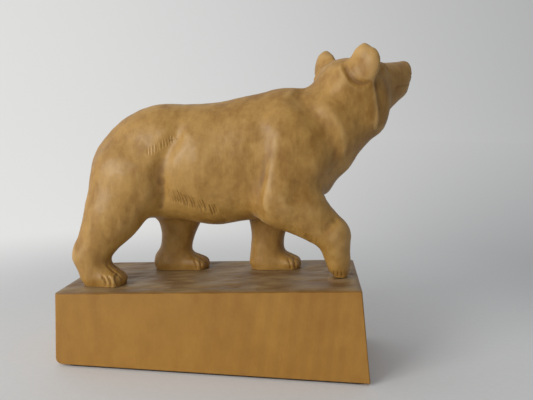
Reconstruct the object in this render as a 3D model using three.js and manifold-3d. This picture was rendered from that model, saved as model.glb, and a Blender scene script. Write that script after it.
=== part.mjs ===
// A carved limewood bear that walks on a sloping plinth. Millimetres, +Z up, +X the way the bear walks.
// The origin is the centre of the felt's underside. The bear is one carving, glued to the plinth with a
// dowel in one paw and drawn down by two screws that stand on washers in deep counterbores.
import * as THREE from 'three';
import { mergeVertices } from 'three/addons/utils/BufferGeometryUtils.js';
import Module from 'manifold-3d';

const wasm = await Module();
wasm.setup();

// ---- Driving dimensions -------------------------------------------------------------------------
const plinthLength = 312;
const plinthDepth = 126;
const tailHeight = 76; // top of the plinth at its tail end, above the table
const headHeight = 94; // and at its head end
const tailBatter = 1; // how far the tail end leans in, over its height
const headBatter = 12.5;
const tailFootRound = 7; // the rounded lower corner at the tail end
const edgeRound = 1.2;

const feltThickness = 1.6;
const feltInset = 3; // from the plinth's edges
const glueLine = 0.3; // gap left between faces that are glued

const bodyWidth = 92; // across the ribs
const backHeight = 179; // top of the loins above the plinth, under the middle of the body
const girthHeight = 124; // depth of the barrel from back to belly
const withersRise = 20; // withers above the loins
const rumpX = -97;
const loinX = -62;
const bellyX = -8;
const ribsX = 32;
const withersX = 67;
const headTurn = 34; // degrees towards the far side
const headX = 128;
const headY = 12;
const headHeightAbove = 198; // middle of the skull above the plinth
const earSpread = 33; // each ear from the middle of the skull
const nearEarTurn = 16; // degrees that the near ear is turned back
const muzzleReach = 77.5; // nose from the middle of the skull

const nearHindPaw = { x: -116, y: -33 };
const farHindPaw = { x: -55, y: 32 };
const farForePaw = { x: 51, y: 29 };
const nearForePaw = { x: 125, y: -20 };
const toePadRadius = 9; // the raised pad that the lifted forepaw's toes touch
const toePadHeight = 2;

const dowelDiameter = 8;
const dowelLength = 34;
const dowelChamfer = 1;
const screwShank = 5;
const screwHead = 10;
const screwHeadHeight = 3.2;
const screwLength = 62; // under its head
const screwBite = 24; // how far the screw goes into the leg
const washerDiameter = 15;
const washerThickness = 1.4;
const boreGap = 1.5; // round the washer, in the counterbore that takes it
const fitGap = 0.3; // round every dowel, screw and washer

// ---- Derived sizes ------------------------------------------------------------------------------
const plinthUnderside = feltThickness + glueLine;
const topSlope = (headHeight - tailHeight) / (plinthLength - tailBatter - headBatter);
const topAt = (x) => tailHeight + (x + plinthLength / 2 - tailBatter) * topSlope;
const boreRadius = washerDiameter / 2 + boreGap;
const standing = topAt(0);
const plinthTilt = Math.atan(topSlope);

// ---- Solids: from three.js geometry to manifold-3d and back ---------------------------------------
function solidOf(geometry) {
  const bare = geometry.clone();
  bare.deleteAttribute('normal');
  bare.deleteAttribute('uv');
  const merged = mergeVertices(bare, 1e-4);
  const vertProperties = new Float32Array(merged.attributes.position.array);
  const triVerts = new Uint32Array(merged.index.array);
  return new wasm.Manifold(new wasm.Mesh({ numProp: 3, vertProperties, triVerts }));
}

function geometryOf(solid) {
  const mesh = solid.getMesh();
  const geometry = new THREE.BufferGeometry();
  geometry.setAttribute('position', new THREE.BufferAttribute(mesh.vertProperties, 3));
  geometry.setIndex(new THREE.BufferAttribute(mesh.triVerts, 1));
  geometry.computeVertexNormals();
  return geometry;
}

// A solid turned about the vertical, from [radius, height] corners that start and end on the axis.
function turned(corners, x, y, z, segments = 24) {
  const profile = corners.map(([radius, height]) => new THREE.Vector2(radius, height));
  return new THREE.LatheGeometry(profile, segments).rotateX(Math.PI / 2).translate(x, y, z);
}

function rod(radius, bottom, top, x, y, segments = 24) {
  return turned([[0, bottom], [radius, bottom], [radius, top], [0, top]], x, y, 0, segments);
}

// ---- Distance fields that the bear is blended from ------------------------------------------------
const at = (x, y, z) => new THREE.Vector3(x, y, z);

function blend(a, b, softness) {
  const near = Math.max(softness - Math.abs(a - b), 0) / softness;
  return Math.min(a, b) - near * near * softness * 0.25;
}

function hollow(body, tool, softness) {
  return -blend(-body, tool, softness);
}

// A tapered limb between two balls, narrowed across the body by its width ratio.
function limb(from, fromRadius, to, toRadius, widthRatio = 1) {
  const ax = from.x;
  const ay = from.y / widthRatio;
  const az = from.z;
  const bx = to.x - ax;
  const by = to.y / widthRatio - ay;
  const bz = to.z - az;
  const length2 = bx * bx + by * by + bz * bz;
  const taper = fromRadius - toRadius;
  const slant = length2 - taper * taper;
  const shrink = Math.min(widthRatio, 1);
  return (x, y, z) => {
    const px = x - ax;
    const py = y / widthRatio - ay;
    const pz = z - az;
    const along = px * bx + py * by + pz * bz;
    const past = along - length2;
    const cx = px * length2 - bx * along;
    const cy = py * length2 - by * along;
    const cz = pz * length2 - bz * along;
    const aside = cx * cx + cy * cy + cz * cz;
    const alongPart = along * along * length2;
    const pastPart = past * past * length2;
    const edge = Math.sign(taper) * taper * taper * aside;
    if (Math.sign(past) * slant * pastPart > edge) {
      return (Math.sqrt(aside + pastPart) / length2 - toRadius) * shrink;
    }
    if (Math.sign(along) * slant * alongPart < edge) {
      return (Math.sqrt(aside + alongPart) / length2 - fromRadius) * shrink;
    }
    return ((Math.sqrt(aside * slant / length2) + along * taper) / length2 - fromRadius) * shrink;
  };
}

function ball(centre, rx, ry, rz) {
  return (x, y, z) => {
    const dx = x - centre.x;
    const dy = y - centre.y;
    const dz = z - centre.z;
    const scaled = Math.hypot(dx / rx, dy / ry, dz / rz);
    const steep = Math.hypot(dx / (rx * rx), dy / (ry * ry), dz / (rz * rz));
    return steep > 0 ? scaled * (scaled - 1) / steep : -Math.min(rx, ry, rz);
  };
}

// Joins fields one after the other, each with its own softness.
function body(parts) {
  return (x, y, z) => parts.reduce((sum, [field, softness]) => {
    const next = field(x, y, z);
    return softness ? blend(sum, next, softness) : Math.min(sum, next);
  }, 1e3);
}

// ---- The bear -------------------------------------------------------------------------------------
const barrel = girthHeight / 2;
const ribRatio = bodyWidth / girthHeight;
const spineZ = standing + backHeight - barrel;

function torso() {
  const rump = at(rumpX, 0, spineZ - 13);
  const loin = at(loinX, 0, spineZ);
  const belly = at(bellyX, 0, spineZ);
  const ribs = at(ribsX, 0, spineZ + withersRise / 2 - 2);
  const withers = at(withersX, 0, spineZ + withersRise + 1);
  const nape = at(101, 2, spineZ + 37);
  const poll = at(121, 8, spineZ + 56);
  return body([
    [limb(rump, barrel - 17, loin, barrel - 4, ribRatio * 0.9), 0],
    [limb(loin, barrel - 4, belly, barrel, ribRatio * 0.92), 4],
    [limb(belly, barrel, ribs, barrel + 1, ribRatio), 4],
    [limb(ribs, barrel + 1, withers, barrel - 2, ribRatio), 4],
    [limb(withers, barrel - 6.5, nape, barrel - 15, 0.82), 6],
    [limb(nape, barrel - 15, poll, barrel - 23, 0.88), 4],
  ]);
}

// A paw flat on the plinth: a pad with four toes that fan out in front.
function paw(x, y, length, width, toeRadius, rise) {
  const ground = topAt(x);
  const back = at(x - length * 0.3, y, ground + rise);
  const front = at(x + length * 0.2, y, ground + rise * 0.6);
  const parts = [[limb(back, width * 0.44, front, width * 0.38, 1.05), 0]];
  for (const side of [-1, -1 / 3, 1 / 3, 1]) {
    const tipX = x + length * (0.46 - 0.1 * side * side);
    const tip = at(tipX, y + side * width * 0.36, topAt(tipX) + toeRadius * 0.8);
    const knuckle = at(tipX - toeRadius * 1.4, y + side * width * 0.3, tip.z + toeRadius * 0.35);
    parts.push([limb(knuckle, toeRadius, tip, toeRadius * 0.85), 3]);
  }
  return body(parts);
}

function nearHind() {
  const { x, y } = nearHindPaw;
  const hip = at(x + 22, y + 10, standing + 98);
  const knee = at(x + 9, y + 3, standing + 66);
  const hock = at(x - 15, y, topAt(x) + 30);
  const heel = at(x - 9, y, topAt(x) + 16);
  return body([
    [limb(hip, 40, knee, 29, 0.66), 0],
    [limb(knee, 28, hock, 18, 0.8), 6],
    [limb(hock, 18.5, heel, 17, 0.85), 4],
    [paw(x + 1, y, 37, 34, 7.5, 11), 5],
  ]);
}

function farHind() {
  const { x, y } = farHindPaw;
  const hip = at(x - 22, y - 10, standing + 100);
  const knee = at(x + 4, y - 2, standing + 66);
  const ankle = at(x - 2, y, topAt(x) + 25);
  const heel = at(x - 6, y, topAt(x) + 8);
  return body([
    [limb(hip, 40, knee, 26, 0.66), 0],
    [limb(knee, 24, ankle, 17, 0.9), 6],
    [limb(ankle, 17, heel, 17, 0.9), 4],
    [paw(x + 5, y, 62, 33, 7, 8), 6],
  ]);
}

function farFore() {
  const { x, y } = farForePaw;
  const shoulder = at(x + 10, y - 8, standing + 118);
  const elbow = at(x - 3, y - 1, standing + 62);
  const wrist = at(x - 5, y, topAt(x) + 24);
  const heel = at(x - 1, y, topAt(x) + 8);
  return body([
    [limb(shoulder, 38, elbow, 22, 0.66), 0],
    [limb(elbow, 21, wrist, 17.5, 0.88), 6],
    [limb(wrist, 17.5, heel, 17, 0.9), 4],
    [paw(x + 6, y, 54, 33, 7, 8), 6],
  ]);
}

// The lifted foreleg: the wrist is bent and only the toes touch the plinth.
function nearFore() {
  const { x, y } = nearForePaw;
  const shoulder = at(x - 62, y - 2, standing + 130);
  const elbow = at(x - 61, y - 10, standing + 90);
  const wrist = at(x - 9, y - 6, topAt(x) + 46);
  const knuckles = at(x - 2, y - 1, topAt(x) + 16);
  const toes = at(x + 1, y, topAt(x) + toePadHeight + 5);
  return body([
    [limb(shoulder, 40, elbow, 31, 0.66), 0],
    [limb(elbow, 30, wrist, 18, 0.78), 6],
    [limb(wrist, 17, knuckles, 13, 0.95), 4],
    [limb(knuckles, 12, toes, 7.5, 1.1), 3],
  ]);
}

// A cupped ear in the head's axes, turned about its own upright line.
function ear(side, back) {
  const cos = Math.cos(back);
  const sin = Math.sin(back);
  const root = -8;
  const turnedBack = (field) => (along, right, up) => {
    const a = along - root;
    const r = right - side * earSpread;
    return field(root + a * cos - r * sin, side * earSpread + a * sin + r * cos, up);
  };
  return {
    cup: turnedBack(ball(at(root, side * earSpread, 22), 9, 18.5, 20.5)),
    bowl: turnedBack(ball(at(root + 11, side * (earSpread + 1), 26), 9, 12, 12.5)),
  };
}

// The head is built in its own axes: along the muzzle, to the bear's right, and up.
function head() {
  const turn = THREE.MathUtils.degToRad(headTurn);
  const cos = Math.cos(turn);
  const sin = Math.sin(turn);
  const skullZ = standing + headHeightAbove;
  const tip = muzzleReach;
  const parts = [
    [ball(at(-2, 0, 0), 39, 38, 32), 0],
    [ball(at(10, 21, -13), 24, 18, 27), 8],
    [ball(at(10, -21, -13), 24, 18, 27), 8],
    [ball(at(20, 17, 19), 12, 12, 10), 6],
    [ball(at(20, -17, 19), 12, 12, 10), 6],
    [limb(at(28, 0, 8), 21, at(tip - 14.5, 0, 18.5), 14.5, 1.2), 6],
    [limb(at(20, 0, -15), 22, at(tip - 18, 0, 6.5), 14, 1.15), 6],
    [ball(at(tip - 7, 0, 25), 7.5, 11, 8.5), 3],
  ];
  const ears = [[1, nearEarTurn], [-1, 0]].map(([side, back]) => ear(side, THREE.MathUtils.degToRad(back)));
  const face = body(parts);
  return (x, y, z) => {
    const dx = x - headX;
    const dy = y - headY;
    const along = dx * cos + dy * sin;
    const right = dx * sin - dy * cos;
    const up = z - skullZ;
    return ears.reduce(
      (sum, { cup, bowl }) => hollow(blend(sum, cup(along, right, up), 5), bowl(along, right, up), 2),
      face(along, right, up),
    );
  };
}

const bearField = body([
  [torso(), 0],
  [head(), 10],
  [nearHind(), 7],
  [farHind(), 7],
  [farFore(), 7],
  [nearFore(), 7],
]);

// ---- A closed surface over a field ----------------------------------------------------------------
// Places along one axis, closer together in the stretches that hold paws, toes and the head.
function stations(stretches) {
  const places = [];
  for (const [from, to, step] of stretches) {
    const count = Math.round((to - from) / step);
    for (let i = 0; i < count; i += 1) {
      places.push(from + (to - from) * i / count);
    }
  }
  places.push(stretches[stretches.length - 1][1]);
  return places;
}

// Moves a point down the field's slope until it lies on the surface, by a short way at most.
function settle(point, field) {
  const step = 0.05;
  const reach = 1;
  const { x, y, z } = point;
  const here = field(x, y, z);
  const slope = at(field(x + step, y, z) - here, field(x, y + step, z) - here, field(x, y, z + step) - here);
  slope.divideScalar(step);
  const way = THREE.MathUtils.clamp(-here / Math.max(slope.lengthSq(), 0.1), -reach, reach);
  point.addScaledVector(slope, way);
}

// Fills the lattice squares whose corners lie in and out by turns, so that no two sheets share an edge.
function fillChecks(value, strides, counts) {
  const barelyIn = -0.05;
  const [nx, ny, nz] = counts;
  let filled = true;
  while (filled) {
    filled = false;
    for (const [u, v] of [[0, 1], [1, 2], [0, 2]]) {
      const across = strides[u];
      const up = strides[v];
      const last = [nx, ny, nz].map((count, axis) => (axis === u || axis === v ? count - 1 : count));
      for (let k = 0; k < last[2]; k += 1) {
        for (let j = 0; j < last[1]; j += 1) {
          for (let i = 0; i < last[0]; i += 1) {
            const here = (k * ny + j) * nx + i;
            const square = [here, here + across, here + across + up, here + up];
            const [a, b, c, d] = square.map((place) => value[place] < 0);
            if (a === c && b === d && a !== b) {
              const [outer, other] = a ? [square[1], square[3]] : [square[0], square[2]];
              value[value[outer] < value[other] ? outer : other] = barelyIn;
              filled = true;
            }
          }
        }
      }
    }
  }
}

// Surface nets: one corner in each cell that the surface crosses, one quad for each crossed edge.
function surfaceOf(field, xs, ys, zs) {
  const nx = xs.length;
  const ny = ys.length;
  const nz = zs.length;
  const index = (i, j, k) => (k * ny + j) * nx + i;
  const value = new Float32Array(nx * ny * nz);
  for (let k = 0; k < nz; k += 1) {
    for (let j = 0; j < ny; j += 1) {
      for (let i = 0; i < nx; i += 1) {
        value[index(i, j, k)] = field(xs[i], ys[j], zs[k]);
      }
    }
  }
  fillChecks(value, [1, nx, nx * ny], [nx, ny, nz]);
  const corner = new Map();
  const positions = [];
  for (let k = 0; k < nz - 1; k += 1) {
    for (let j = 0; j < ny - 1; j += 1) {
      for (let i = 0; i < nx - 1; i += 1) {
        const crossing = at(0, 0, 0);
        let crossings = 0;
        for (const [di, dj, dk, ei, ej, ek] of cellEdges) {
          const a = value[index(i + di, j + dj, k + dk)];
          const b = value[index(i + ei, j + ej, k + ek)];
          if ((a < 0) !== (b < 0)) {
            const share = a / (a - b);
            crossing.x += THREE.MathUtils.lerp(xs[i + di], xs[i + ei], share);
            crossing.y += THREE.MathUtils.lerp(ys[j + dj], ys[j + ej], share);
            crossing.z += THREE.MathUtils.lerp(zs[k + dk], zs[k + ek], share);
            crossings += 1;
          }
        }
        if (crossings) {
          corner.set(index(i, j, k), positions.length / 3);
          settle(crossing.divideScalar(crossings), field);
          positions.push(crossing.x, crossing.y, crossing.z);
        }
      }
    }
  }
  const faces = [];
  const quad = (a, b, c, d, flip) => {
    const ring = [a, b, c, d].map((cell) => corner.get(cell));
    const [p, q, r, s] = flip ? ring.reverse() : ring;
    faces.push(p, q, r, p, r, s);
  };
  for (let k = 1; k < nz - 1; k += 1) {
    for (let j = 1; j < ny - 1; j += 1) {
      for (let i = 1; i < nx - 1; i += 1) {
        const inside = value[index(i, j, k)] < 0;
        if (inside !== value[index(i + 1, j, k)] < 0) {
          quad(index(i, j - 1, k - 1), index(i, j, k - 1), index(i, j, k), index(i, j - 1, k), !inside);
        }
        if (inside !== value[index(i, j + 1, k)] < 0) {
          quad(index(i - 1, j, k - 1), index(i - 1, j, k), index(i, j, k), index(i, j, k - 1), !inside);
        }
        if (inside !== value[index(i, j, k + 1)] < 0) {
          quad(index(i - 1, j - 1, k), index(i, j - 1, k), index(i, j, k), index(i - 1, j, k), !inside);
        }
      }
    }
  }
  const geometry = new THREE.BufferGeometry();
  geometry.setAttribute('position', new THREE.Float32BufferAttribute(positions, 3));
  geometry.setIndex(faces);
  return geometry;
}

// The twelve edges of a cell, each from one corner to the next along an axis.
const cellEdges = [];
for (const [u, v] of [[0, 0], [1, 0], [0, 1], [1, 1]]) {
  cellEdges.push([0, u, v, 1, u, v], [u, 0, v, u, 1, v], [u, v, 0, u, v, 1]);
}

// ---- Fasteners ------------------------------------------------------------------------------------
const screws = [
  { name: 'near_hind', x: nearHindPaw.x - 6, y: nearHindPaw.y },
  { name: 'far_fore', x: farForePaw.x - 4, y: farForePaw.y },
].map((place) => {
  const tip = topAt(place.x) + screwBite;
  const seat = tip - screwLength; // the underside of the screw's head
  return { ...place, tip, seat, boreTop: seat + fitGap };
});
const dowel = { x: farHindPaw.x - 4, y: farHindPaw.y };
dowel.bottom = topAt(dowel.x) - dowelLength / 2;

function screwGeometry({ x, y, tip, seat }) {
  const shank = screwShank / 2;
  const headRadius = screwHead / 2;
  const headBottom = seat - washerThickness - fitGap;
  const driveDepth = screwHeadHeight * 0.6;
  const driveWidth = 1.4;
  const profile = [
    [0, headBottom - screwHeadHeight],
    [headRadius * 0.8, headBottom - screwHeadHeight],
    [headRadius, headBottom - screwHeadHeight * 0.5],
    [headRadius, headBottom],
    [shank, headBottom],
    [shank, tip - 8],
    [0, tip],
  ];
  let solid = solidOf(turned(profile, x, y, 0));
  for (const turn of [0, Math.PI / 2]) {
    const slot = new THREE.BoxGeometry(headRadius * 1.1, driveWidth, driveDepth * 2);
    solid = solid.subtract(solidOf(slot.rotateZ(turn).translate(x, y, headBottom - screwHeadHeight)));
  }
  return geometryOf(solid);
}

function washerGeometry({ x, y, seat }) {
  const inner = screwShank / 2 + fitGap;
  const outer = washerDiameter / 2;
  const bottom = seat - washerThickness;
  const profile = [
    [inner, bottom],
    [outer, bottom],
    [outer, seat],
    [inner, seat],
    [inner, bottom],
  ];
  return turned(profile, x, y, 0);
}

function dowelGeometry() {
  const radius = dowelDiameter / 2;
  const top = dowel.bottom + dowelLength;
  const profile = [
    [0, dowel.bottom],
    [radius - dowelChamfer, dowel.bottom],
    [radius, dowel.bottom + dowelChamfer],
    [radius, top - dowelChamfer],
    [radius - dowelChamfer, top],
    [0, top],
  ];
  return turned(profile, dowel.x, dowel.y, 0);
}

// ---- The plinth and its felt ------------------------------------------------------------------------
// The side of the block, in X and Z, with a rounded foot at the tail end.
function plinthOutline() {
  const tail = -plinthLength / 2;
  const nose = plinthLength / 2;
  const foot = plinthUnderside + edgeRound;
  const outline = new THREE.Shape();
  outline.moveTo(tail + tailFootRound, foot);
  outline.lineTo(nose - edgeRound, foot);
  outline.lineTo(nose - headBatter - edgeRound, topAt(nose - headBatter) - edgeRound);
  outline.lineTo(tail + tailBatter + edgeRound, topAt(tail + tailBatter) - edgeRound);
  outline.lineTo(tail + edgeRound, foot + tailFootRound - edgeRound);
  outline.absarc(tail + tailFootRound, foot + tailFootRound - edgeRound, tailFootRound - edgeRound, Math.PI,
    Math.PI * 1.5, false);
  return outline;
}

function plinthSolid() {
  const block = new THREE.ExtrudeGeometry(plinthOutline(), {
    depth: plinthDepth - 2 * edgeRound,
    bevelThickness: edgeRound,
    bevelSize: edgeRound,
    bevelSegments: 2,
    curveSegments: 6,
  }).translate(0, 0, -plinthDepth / 2 + edgeRound).rotateX(Math.PI / 2);
  let solid = solidOf(block);
  const padTop = topAt(nearForePaw.x) + toePadHeight;
  const pad = turned([
    [0, padTop - 12],
    [toePadRadius + 3, padTop - 12],
    [toePadRadius + 3, padTop - toePadHeight - 1],
    [toePadRadius, padTop],
    [0, padTop],
  ], nearForePaw.x, nearForePaw.y, 0, 28);
  solid = solid.add(solidOf(pad));
  for (const screw of screws) {
    const wide = rod(boreRadius, -1, screw.seat + fitGap, screw.x, screw.y);
    const narrow = rod(screwShank / 2 + fitGap, screw.seat - 1, screw.tip, screw.x, screw.y);
    solid = solid.subtract(solidOf(wide)).subtract(solidOf(narrow));
  }
  const socket = rod(dowelDiameter / 2 + fitGap, dowel.bottom - fitGap, standing + 40, dowel.x, dowel.y);
  return solid.subtract(solidOf(socket));
}

function feltGeometry() {
  const halfLength = plinthLength / 2 - feltInset;
  const halfDepth = plinthDepth / 2 - feltInset;
  const corner = tailFootRound;
  const outline = new THREE.Shape();
  outline.moveTo(-halfLength + corner + tailFootRound, -halfDepth);
  outline.absarc(halfLength - corner, -halfDepth + corner, corner, -Math.PI / 2, 0, false);
  outline.absarc(halfLength - corner, halfDepth - corner, corner, 0, Math.PI / 2, false);
  outline.absarc(-halfLength + corner + tailFootRound, halfDepth - corner, corner, Math.PI / 2, Math.PI, false);
  outline.absarc(-halfLength + corner + tailFootRound, -halfDepth + corner, corner, Math.PI, Math.PI * 1.5, false);
  return new THREE.ExtrudeGeometry(outline, { depth: feltThickness, bevelEnabled: false, curveSegments: 5 });
}

// ---- The bear, cut to stand on the plinth -----------------------------------------------------------
function bearSolid() {
  const xs = stations([[-165, -80, 6.5], [-80, 20, 9.5], [20, 95, 7.5], [95, 214, 4.8]]);
  const ys = stations([[-66, 90, 6]]);
  const zs = stations([[topAt(-160) - 15, standing + 26, 5], [standing + 26, standing + 170, 9.5],
    [standing + 170, standing + 255, 5]]);
  let solid = solidOf(surfaceOf(bearField, xs, ys, zs));
  const slab = new THREE.BoxGeometry(plinthLength * 2, plinthDepth * 2, 60).translate(0, 0, -30 + glueLine);
  solid = solid.subtract(solidOf(slab.rotateY(-plinthTilt).translate(0, 0, standing)));
  const padClear = rod(toePadRadius + 6, standing - 10, topAt(nearForePaw.x) + toePadHeight + glueLine,
    nearForePaw.x, nearForePaw.y, 28);
  solid = solid.subtract(solidOf(padClear));
  for (const screw of screws) {
    const pilot = rod(screwShank / 2 + fitGap, screw.seat, screw.tip + fitGap, screw.x, screw.y);
    solid = solid.subtract(solidOf(pilot));
  }
  const socket = rod(dowelDiameter / 2 + fitGap, standing - 40, dowel.bottom + dowelLength + fitGap, dowel.x,
    dowel.y);
  return solid.subtract(solidOf(socket));
}

// ---- Assembly ---------------------------------------------------------------------------------------
const limewood = new THREE.MeshStandardMaterial({ color: 0xb98a4e, roughness: 0.55, metalness: 0 });
const plinthWood = new THREE.MeshStandardMaterial({ color: 0xa9763a, roughness: 0.6, metalness: 0 });
const beech = new THREE.MeshStandardMaterial({ color: 0xc9a274, roughness: 0.7, metalness: 0 });
const steel = new THREE.MeshStandardMaterial({ color: 0xb0a98a, roughness: 0.35, metalness: 1 });
const baize = new THREE.MeshStandardMaterial({ color: 0x3a3430, roughness: 0.95, metalness: 0 });

const figurine = new THREE.Group();

function addPiece(name, geometry, material) {
  const mesh = new THREE.Mesh(geometry, material.clone());
  mesh.name = name;
  figurine.add(mesh);
}

addPiece('bear', geometryOf(bearSolid()), limewood);
addPiece('plinth', geometryOf(plinthSolid()), plinthWood);
addPiece('dowel_far_hind', dowelGeometry(), beech);
for (const screw of screws) {
  addPiece(`screw_${screw.name}`, screwGeometry(screw), steel);
  addPiece(`washer_${screw.name}`, washerGeometry(screw), steel);
}
addPiece('felt', feltGeometry(), baize);

export default figurine;
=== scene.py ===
import math
import random

import bpy
import numpy as np
from mathutils import Matrix, Vector
from mathutils.kdtree import KDTree


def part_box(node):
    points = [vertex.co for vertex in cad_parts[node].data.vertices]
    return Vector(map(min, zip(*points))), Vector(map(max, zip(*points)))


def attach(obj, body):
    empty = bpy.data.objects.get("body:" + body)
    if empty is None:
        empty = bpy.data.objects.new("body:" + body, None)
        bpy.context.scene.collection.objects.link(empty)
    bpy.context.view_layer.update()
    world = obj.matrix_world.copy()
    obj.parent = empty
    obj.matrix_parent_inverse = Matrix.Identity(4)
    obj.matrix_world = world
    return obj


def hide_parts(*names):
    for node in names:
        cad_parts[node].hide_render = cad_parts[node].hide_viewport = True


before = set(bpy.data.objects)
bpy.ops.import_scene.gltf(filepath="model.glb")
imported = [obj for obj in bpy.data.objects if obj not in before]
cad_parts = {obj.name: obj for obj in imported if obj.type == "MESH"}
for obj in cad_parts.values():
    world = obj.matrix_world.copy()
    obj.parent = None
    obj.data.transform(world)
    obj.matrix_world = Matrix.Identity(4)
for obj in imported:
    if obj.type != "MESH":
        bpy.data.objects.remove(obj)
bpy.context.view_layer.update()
mm = 0.001

block = {  # the lines, in mm, that the plinth and the bear are both set out from
    "tailX": -155, "tailHeight": 76,
    "headX": 143.5, "headHeight": 94,
    "depth": 126, "glueLine": 0.3,
    "padX": 125, "padY": -20, "padHeight": 2,  # the raised pad under the lifted paw
}
slope = (block["headHeight"] - block["tailHeight"]) / (block["headX"] - block["tailX"])


def topHeight(x):
    return block["tailHeight"] + (x - block["tailX"]) * slope


def fromPad(x, y):
    return np.hypot(x - block["padX"], y - block["padY"])


def objectMode():
    if bpy.context.mode != "OBJECT":
        bpy.ops.object.mode_set(mode="OBJECT")


def choose(piece):
    objectMode()
    bpy.ops.object.select_all(action="DESELECT")
    piece.select_set(True)
    bpy.context.view_layer.objects.active = piece


def editMode(piece, kind="VERT"):
    choose(piece)
    bpy.ops.object.mode_set(mode="EDIT")
    bpy.ops.mesh.select_mode(type=kind)


def newName(name):
    bpy.context.object.name = name
    bpy.context.object.data.name = name
    return bpy.context.object


def applyModifier(piece, kind, **settings):
    choose(piece)
    modifier = piece.modifiers.new("step", kind)
    for name, value in settings.items():
        setattr(modifier, name, value)
    bpy.ops.object.modifier_apply(modifier="step")


def cutAway(piece, tool):
    applyModifier(piece, "BOOLEAN", operation="DIFFERENCE", solver="EXACT", object=tool)
    bpy.data.objects.remove(tool)


def applyPlace(piece):
    choose(piece)
    bpy.ops.object.transform_apply(location=True, rotation=True, scale=True)


def placesOf(piece):  # in mm
    flat = np.empty(len(piece.data.vertices) * 3)
    piece.data.vertices.foreach_get("co", flat)
    return flat.reshape(-1, 3) / mm


def setPlaces(piece, places):
    piece.data.vertices.foreach_set("co", (places * mm).ravel())
    piece.data.update()


def normalsOf(piece):
    flat = np.empty(len(piece.data.vertices) * 3)
    piece.data.vertex_normals.foreach_get("vector", flat)
    return flat.reshape(-1, 3)


def ofFaces(piece, what):  # their centres, in metres, or their normals
    flat = np.empty(len(piece.data.polygons) * 3)
    piece.data.polygons.foreach_get(what, flat)
    return flat.reshape(-1, 3)


def selectOnly(piece, kind, chosen):  # kind is VERT or FACE
    objectMode()
    mesh = piece.data
    for parts in (mesh.polygons, mesh.edges, mesh.vertices):
        parts.foreach_set("select", np.zeros(len(parts), bool))
    (mesh.vertices if kind == "VERT" else mesh.polygons).foreach_set("select", chosen)
    editMode(piece, kind)


def copyOfNode(node, name):  # merged, so that its faces hold together
    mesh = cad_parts[node].data.copy()
    mesh.materials.clear()
    piece = bpy.data.objects.new(name, mesh)
    bpy.context.scene.collection.objects.link(piece)
    editMode(piece)
    bpy.ops.mesh.select_all(action="SELECT")
    bpy.ops.mesh.remove_doubles(threshold=0.02 * mm)
    objectMode()
    return piece


def addMark(piece, name, values):  # a number at each corner, that the wood reads
    mark = piece.data.attributes.new(name, "FLOAT", "POINT")
    mark.data.foreach_set("value", values.astype(np.float32))


def eased(low, high, value):
    share = np.clip((value - low) / (high - low), 0, 1)
    return share * share * (3 - 2 * share)


def softLine(points, count=20):  # a smooth line through a few points
    points = np.array(points, float)
    padded = np.vstack([2 * points[0] - points[1], points, 2 * points[-1] - points[-2]])
    line = []
    for step in np.linspace(0, len(points) - 1 - 1e-6, count):
        i = int(step)
        t = step - i
        a, b, c, d = padded[i:i + 4]
        line.append(0.5 * (2 * b + (c - a) * t + (2 * a - 5 * b + 4 * c - d) * t * t
                           + (3 * b - a - 3 * c + d) * t ** 3))
    return np.array(line)


class View:  # the side that a line is drawn from: its two axes, and the way that the skin there faces
    def __init__(self, across, up, facing, origin=(0, 0, 0)):
        self.axes = np.array([across, up], float)
        self.facing = np.array(facing, float)
        self.origin = np.array(origin, float)

    def flat(self, places):
        return (places - self.origin) @ self.axes.T


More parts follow.
